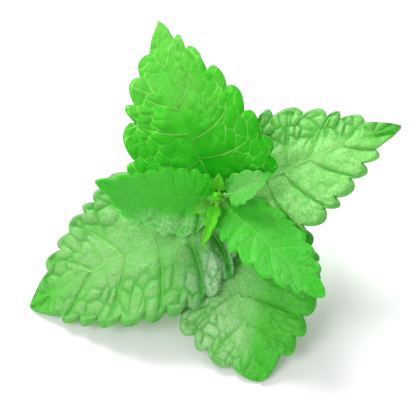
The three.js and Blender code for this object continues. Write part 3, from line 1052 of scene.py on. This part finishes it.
@dataclass(frozen=True)
class LeafFinish:
    """The skin of a leaf: greens, pale veins, painted sheen and glints, painted shade, paler underside, light
    glowing through.

    Deep ends and pale starts at shares of the length. Crease shade, veining and tipping say how strongly the
    creases are darkened as painted shade, the veins coloured, and the tip coloured and the teeth darkened as
    painted shade, and glow how much light comes through.
    """

    deep: Colour = (0.012, 0.36, 0.006)
    fresh: Colour = (0.045, 0.52, 0.012)
    pale: Colour = (0.14, 0.61, 0.06)
    # Colours of the painted sheen on the pillows and of the painted glints on the base lobes.
    waxy: Colour = (0.40, 0.72, 0.29)
    frosty: Colour = (0.55, 0.72, 0.54)
    vein: Colour = (0.32, 0.80, 0.16)
    under: Colour = (0.18, 0.54, 0.11)
    lit: Colour = (0.10, 0.62, 0.03)
    deep_to: float = 0.45
    pale_from: float = 0.6
    roughness: float = 0.45
    shine: float = 0.4
    coat: float = 0.12
    # How strongly the painted shade darkens the creases.
    creasing: float = 0.72
    veining: float = 0.5
    # How strongly the tip is coloured and the teeth darkened with painted shade.
    tipping: float = 0.6
    glow: float = 0.22

    def material(self, name: str) -> bpy.types.Material:
        """Makes the material.

        The colour goes from deep near the stem, partly painted shade where the leaf bases crowd together, to
        fresh and then pale towards the tip, mottled by noise, whitened by painted sheen on the pillows'
        crowns and by painted glints on the base lobes, darkened by painted shade in the creases and on the
        teeth, and drawn over with veins and a fine net; below it is paler and more matt.

        Args:
            name: the material's name.

        Returns:
            The material.
        """
        tree = Tree(name)
        along, out, vein = tree.attribute("along"), tree.attribute("out"), tree.attribute("vein")
        pillow, under = tree.attribute("pillow"), tree.attribute("under")
        # Painted light stored on the mesh: sheen on the pillows, glints on the base lobes, shade in the
        # creases and, below, on the teeth.
        wax, frost, crease = tree.attribute("wax"), tree.attribute("frost"), tree.attribute("crease")
        tooth = tree.attribute("tooth")
        broad, middle, fine = tree.noise(BROAD), tree.noise(MIDDLE), tree.noise(FINE, 4, 0.6)
        net = tree.node(
            "ShaderNodeTexVoronoi",
            {"feature": "DISTANCE_TO_EDGE"},
            {"Vector": tree.place(), "Scale": NET, "Randomness": 1.0},
        )
        speck = tree.step(net, 0.0, 0.16)
        # Deep green near the stem, partly painted shade where the leaf bases crowd together, then fresh, then
        # pale towards the tip; the paleness grows with the painted sheen.
        reach = along + out * 0.12 + (broad - 0.5) * 0.7 + (middle - 0.5) * 0.25
        skin = tree.mix(tree.step(reach, 0.1, self.deep_to), self.deep, self.fresh)
        lighter = tree.step(reach, self.pale_from, self.pale_from + 0.5) * (wax * 0.7 + 0.45)
        skin = tree.mix(lighter, skin, self.pale)
        # Painted sheen: the pillows' crowns whitened, broken by the mottle and the net.
        mottle = tree.step((middle + fine) * 0.5, 0.38, 0.6)
        sheen_mask = wax * (tree.step(pillow, 0.1, 0.6) * 0.6 + 0.4) * (mottle * 0.45 + 0.5)
        skin = tree.mix(sheen_mask * (speck * 0.3 + 0.7), skin, self.waxy)
        tipped = tree.step(along + (middle - 0.5) * 0.4, 0.74, 0.95) * self.tipping
        skin = tree.mix(tipped, skin, self.fresh)
        # Painted shade on the teeth, in the deep green.
        skin = tree.mix(tooth * tree.step(middle, 0.3, 0.65) * self.tipping, skin, self.deep)
        # Painted glints: whitish patches on the base lobes.
        glint_patches = tree.step(fine, 0.38, 0.6) * 0.6 + tree.step(middle, 0.35, 0.6) * 0.4
        skin = tree.mix(frost * glint_patches, skin, self.frosty)
        skin = tree.mix((1.0 - speck) * 0.12, skin, self.deep)
        # Painted shade in the creases, the notches and the base lobe's folds, in the deep green.
        skin = tree.mix(crease * self.creasing, skin, self.deep)
        top = tree.mix(tree.step(vein, 0.25, 0.9) * self.veining, skin, self.vein)
        low = tree.mix(tree.step(vein, 0.2, 0.9) * 0.6, self.under, self.vein)
        colour = tree.mix(under, top, low)
        rough = self.roughness + (fine - 0.5) * 0.3 + under * 0.22 - pillow * 0.06
        bump = tree.node(
            "ShaderNodeBump",
            {},
            {"Strength": 0.5, "Distance": 0.00022, "Height": speck * 0.6 + fine * 0.8 + middle * 0.8},
            "Normal",
        )
        skin_shader = tree.node(
            "ShaderNodeBsdfPrincipled",
            {},
            {
                "Base Color": colour,
                "Roughness": rough,
                "Normal": bump,
                "IOR": 1.45,
                "Specular IOR Level": self.shine,
                "Coat Weight": self.coat * (1.0 - under),
                "Coat Roughness": 0.3,
            },
        )
        through = tree.node("ShaderNodeBsdfTranslucent", {}, {"Color": (*self.lit, 1.0), "Normal": bump})
        both = tree.node("ShaderNodeMixShader", {}, {0: self.glow, 1: skin_shader, 2: through})
        return tree.finished(both)


@dataclass(frozen=True)
class StemFinish:
    """The stem's skin, paler along its corners, and its moist pale cut end."""

    skin: Colour = (0.16, 0.42, 0.06)
    corner: Colour = (0.30, 0.56, 0.13)
    pith: Colour = (0.62, 0.74, 0.36)
    ring: Colour = (0.34, 0.52, 0.16)

    def material(self, name: str) -> bpy.types.Material:
        """Makes the material: streaks along the stem, light corners, and a pale pith in a darker ring."""
        tree = Tree(name)
        cut, radial, edge = tree.attribute("cut"), tree.attribute("radial"), tree.attribute("edge")
        broad, fine = tree.noise(STEM_BROAD), tree.noise(STEM_FINE, 4)
        side = tree.mix(edge * 0.6 + (broad - 0.5) * 0.8, self.skin, self.corner)
        side = tree.mix(tree.step(fine, 0.5, 0.75) * 0.3, side, self.corner)
        end = tree.mix(tree.step(radial, 0.6, 0.85), self.pith, self.ring)
        colour = tree.mix(cut, side, end)
        relief = {"Strength": 0.3, "Distance": 0.0003, "Height": fine}
        bump = tree.node("ShaderNodeBump", {}, relief, "Normal")
        rough = 0.42 + (fine - 0.5) * 0.3 - cut * 0.1
        shader = tree.node(
            "ShaderNodeBsdfPrincipled",
            {},
            {"Base Color": colour, "Roughness": rough, "Normal": bump, "IOR": 1.42},
        )
        return tree.finished(shader)


# ---- the studio ----


@dataclass(frozen=True)
class Lamp:
    """A soft square light: its place and width in metres, and its power in watts."""

    name: str
    place: tuple[float, float, float]
    size: float
    power: float

    def build(self, target: Vector) -> None:
        """Makes the light, facing the target."""
        data = bpy.data.lights.new(self.name, "AREA")
        data.shape, data.size, data.energy = "SQUARE", self.size, self.power
        made = added(self.name, data)
        made.location = self.place
        made.rotation_euler = (target - Vector(self.place)).to_track_quat("-Z", "Y").to_euler()


@dataclass
class Studio:
    """Floor, lights and camera.

    The camera stands at an elevation in degrees and a distance in metres from the crown, aims a little off
    it in metres, and has a lens in millimetres. All the lights face a point inside the rosette.
    """

    elevation: float = 50.0
    distance: float = 0.33
    lens: float = 107.6
    aim: tuple[float, float] = (-0.0032, -0.0021)
    target: tuple[float, float, float] = (0, 0, 0.03)
    floor_reach: float = 3.0
    sky_strength: float = 0.6
    lamps: tuple[Lamp, ...] = (
        Lamp("key", (-0.32, 0.48, 0.72), 0.45, 7.8),
        Lamp("window", (-0.45, -0.5, 0.8), 0.4, 4.0),
    )

    def floor(self) -> None:
        """A wide pale floor under the sprig."""
        mesh = bpy.data.meshes.new("floor")
        r = self.floor_reach
        mesh.from_pydata([(-r, -r, 0), (r, -r, 0), (r, r, 0), (-r, r, 0)], [], [(0, 1, 2, 3)])
        tree = Tree("floor_paper")
        shader = tree.node(
            "ShaderNodeBsdfPrincipled",
            {},
            {"Base Color": (0.94, 0.94, 0.94, 1.0), "Roughness": 0.9, "Specular IOR Level": 0.1},
        )
        mesh.materials.append(tree.finished(shader))
        added("floor", mesh)

    def sky(self) -> None:
        """Even pale light from all round."""
        world = bpy.data.worlds.new("sky")
        world.use_nodes = True
        back = world.node_tree.nodes["Background"]
        back.inputs["Color"].default_value = (1.0, 1.0, 1.0, 1.0)
        back.inputs["Strength"].default_value = self.sky_strength
        bpy.context.scene.world = world

    def camera(self, crown: Array) -> None:
        """Looks at the rosette from in front and above, a little off the crown."""
        e = math.radians(self.elevation)
        right, up = np.array([1.0, 0, 0]), np.array([0, math.sin(e), math.cos(e)])
        back = np.array([0, -math.cos(e), math.sin(e)])
        data = bpy.data.cameras.new("camera")
        data.lens, data.sensor_width = self.lens, 36
        made = added("camera", data)
        place = crown + right * self.aim[0] + up * self.aim[1] + back * self.distance
        rows = [[right[i], up[i], back[i], place[i]] for i in range(3)]
        made.matrix_world = Matrix(rows + [[0, 0, 0, 1]])
        bpy.context.scene.camera = made

    def build(self, crown: Array) -> None:
        """Makes the whole studio."""
        self.floor()
        self.sky()
        for lamp in self.lamps:
            lamp.build(Vector(self.target))
        self.camera(crown)
        bpy.context.scene.view_settings.view_transform = "Standard"


# ---- the sprig ----

MEDIUM = LeafGrain(tooth_columns=20, rows=40, base_columns=16)
SMALL = LeafGrain(tooth_columns=18, rows=24, base_columns=10)

LARGE_LEAVES = [
    LeafShape(
        "leaf_bottom", height=-4.35, azimuth=289, reach=3, spread=78.5, droop=23.1, sweep=1, twist=4,
        yaw=-9, tilt=-1, length=45, widths=(22, 20.5), taper=0.4, folds=(9, 10), curls=(13, 17),
        teeth=9, tooth_depth=2.7, quilt=1.3, cells=(0.6, 0.8), wax=(0, 1), frost=(0, 0.35),
    ),
    LeafShape(
        "leaf_left", height=-1, azimuth=208.5, reach=3, spread=87.5, droop=22, sweep=-6, twist=7.5,
        yaw=-1, tilt=7.5, length=58.5, widths=(22, 22.5), taper=0.72, folds=(8, 5), curls=(14, 9),
        teeth=11, tooth_depth=2.3, quilt=1.35, cells=(0.95, 0.9), wax=(0.6, 0.7), frost=(1, 0),
    ),
    LeafShape(
        "leaf_right", height=-1.5, azimuth=14, reach=3, spread=83, droop=17.5, sweep=-8, twist=1.5,
        yaw=14, tilt=-5, length=48.5, widths=(19.5, 18), taper=1.1, folds=(8, 8), curls=(23, 17.5),
        teeth=10, tooth_depth=2.7, quilt=1.5, cells=(1, 0.3), wax=(1, 1), bare=(0.42, 0),
    ),
    LeafShape(
        "leaf_top", height=1.5, azimuth=104.5, reach=2.7, spread=60, droop=62, sweep=-2, twist=-12,
        yaw=13, tilt=-7, length=51.6, widths=(19.3, 23.5), taper=1.2, folds=(19, 23), curls=(-2, -3),
        teeth=9, tooth_depth=3, quilt=0.9, cells=(0.9, 0.9), wax=(0.08, 0.04), net=0.85,
    ),
]
MEDIUM_LEAVES = [
    LeafShape(
        "leaf_inner_left", height=5, azimuth=167.5, reach=3, spread=62, droop=12, sweep=-11, twist=12,
        yaw=14, tilt=-33, length=30.6, widths=(11.5, 9.5), taper=0.9, folds=(10, 17), teeth=9,
        tooth_depth=1.3, quilt=0.35, cells=(0.8, 0.4), wax=(0.12, 0.05), frost=(0.9, 0), wave=0.3,
        grain=MEDIUM, frost_to=0.6,
    ),
    LeafShape(
        "leaf_inner_right", height=4.8, azimuth=313, reach=3, spread=73, droop=20, sweep=6, twist=12,
        yaw=4, tilt=-22, length=34.5, widths=(10, 8.5), taper=0.5, folds=(4, 10), curls=(14, 11),
        teeth=8, tooth_depth=1.7, quilt=0.5, cells=(0.7, 0.7), wax=(0.1, 0.2), wave=0.3, grain=MEDIUM,
    ),
]
YOUNG_LEAVES = [
    LeafShape(
        "leaf_small_right", height=6.8, azimuth=21, reach=3, spread=58, droop=6, length=14,
        widths=(4.4, 4.4), taper=0.8, folds=(18, 18), curls=(5, 5), teeth=5, tooth_depth=0.7,
        quilt=0.2, wax=(0.5, 0.5), wave=0.15, grain=SMALL,
    ),
    LeafShape(
        "leaf_small_left", height=7, azimuth=212, reach=2.8, spread=50, droop=10, length=6,
        widths=(2, 2), taper=0.6, folds=(20, 20), teeth=3, tooth_depth=0.5, quilt=0.1, wave=0.08,
        grain=SMALL,
    ),
    LeafShape(
        "leaf_tiny_front", height=8.4, azimuth=256, reach=2.6, spread=66, droop=44, sweep=-10,
        length=11.5, widths=(2, 2), taper=1.1, folds=(28, 28), teeth=4, tooth_depth=0.6, quilt=0.05,
        wax=(0, 0), wave=0.05, grain=SMALL,
    ),
    LeafShape(
        "leaf_tiny_back", height=8.4, azimuth=84, reach=2.4, spread=30, droop=16, length=5.5,
        widths=(1.8, 1.8), taper=0.6, folds=(30, 30), teeth=3, tooth_depth=0.3, quilt=0.05, wax=(0, 0),
        wave=0.05, grain=SMALL,
    ),
]

# The large leaves' finishes differ partly as painted light: the right and bottom leaves get brighter pale and
# sheen colours where the lamps reach them less.
LEFT_FINISH = LeafFinish(
    pale=(0.13, 0.53, 0.055), waxy=(0.37, 0.63, 0.27), deep_to=0.4, pale_from=0.3,
)
RIGHT_FINISH = LeafFinish(
    pale=(0.14, 0.68, 0.06), waxy=(0.38, 0.82, 0.25), deep_to=0.4, pale_from=0.3,
)
BOTTOM_FINISH = LeafFinish(
    fresh=(0.045, 0.58, 0.012), waxy=(0.52, 0.86, 0.42), deep_to=0.4, pale_from=0.3,
)
TOP_FINISH = LeafFinish(
    deep=(0.0, 0.45, 0.0), fresh=(0.075, 0.61, 0.025), pale=(0.32, 0.67, 0.18), vein=(0.34, 0.84, 0.18),
    lit=(0.03, 0.60, 0.005), deep_to=0.85, pale_from=0.52, shine=0.0, coat=0.0, glow=0.26, creasing=0.2,
    veining=0.9, tipping=0.0,
)
INNER_FINISH = LeafFinish(
    deep=(0.032, 0.74, 0.003), fresh=(0.05, 0.60, 0.02), pale=(0.09, 0.55, 0.065), lit=(0.04, 0.6, 0.01),
    frosty=(0.42, 0.84, 0.34), shine=0.25, coat=0.0, pale_from=0.4, creasing=0.15, veining=0.4,
)
YOUNG_FINISH = LeafFinish(
    deep=(0.05, 0.52, 0.008), fresh=(0.11, 0.66, 0.016), pale=(0.2, 0.74, 0.03), vein=(0.28, 0.82, 0.08),
    shine=0.3, coat=0.0, creasing=0.3,
)
FINISHES = {
    "leaf_left": LEFT_FINISH,
    "leaf_right": RIGHT_FINISH,
    "leaf_bottom": BOTTOM_FINISH,
    "leaf_top": TOP_FINISH,
    "leaf_inner_left": INNER_FINISH,
    "leaf_inner_right": INNER_FINISH,
    "leaf_small_right": INNER_FINISH,
}


@dataclass
class Sprig:
    """All the pieces of the sprig."""

    stem: Stem
    bud: Bud
    leaves: list[Leaf]

    def build(self) -> Array:
        """Makes every piece, and returns where the crown is."""
        crown = self.stem.crown()
        self.stem.build(crown)
        self.bud.build(crown)
        for leaf in self.leaves:
            leaf.build(crown)
        return crown


def main() -> None:
    logging.basicConfig(level=logging.INFO, format="%(name)s %(message)s")
    leaves = [Leaf(s, Slot.LEAF, FINISHES[s.name]) for s in LARGE_LEAVES + MEDIUM_LEAVES]
    leaves += [Leaf(s, Slot.YOUNG, FINISHES.get(s.name, YOUNG_FINISH)) for s in YOUNG_LEAVES]
    crown = Sprig(Stem(STEM, StemFinish()), Bud(STEM, YOUNG_FINISH), leaves).build()
    Studio().build(crown)
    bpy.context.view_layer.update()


if __name__ == "__main__":
    main()
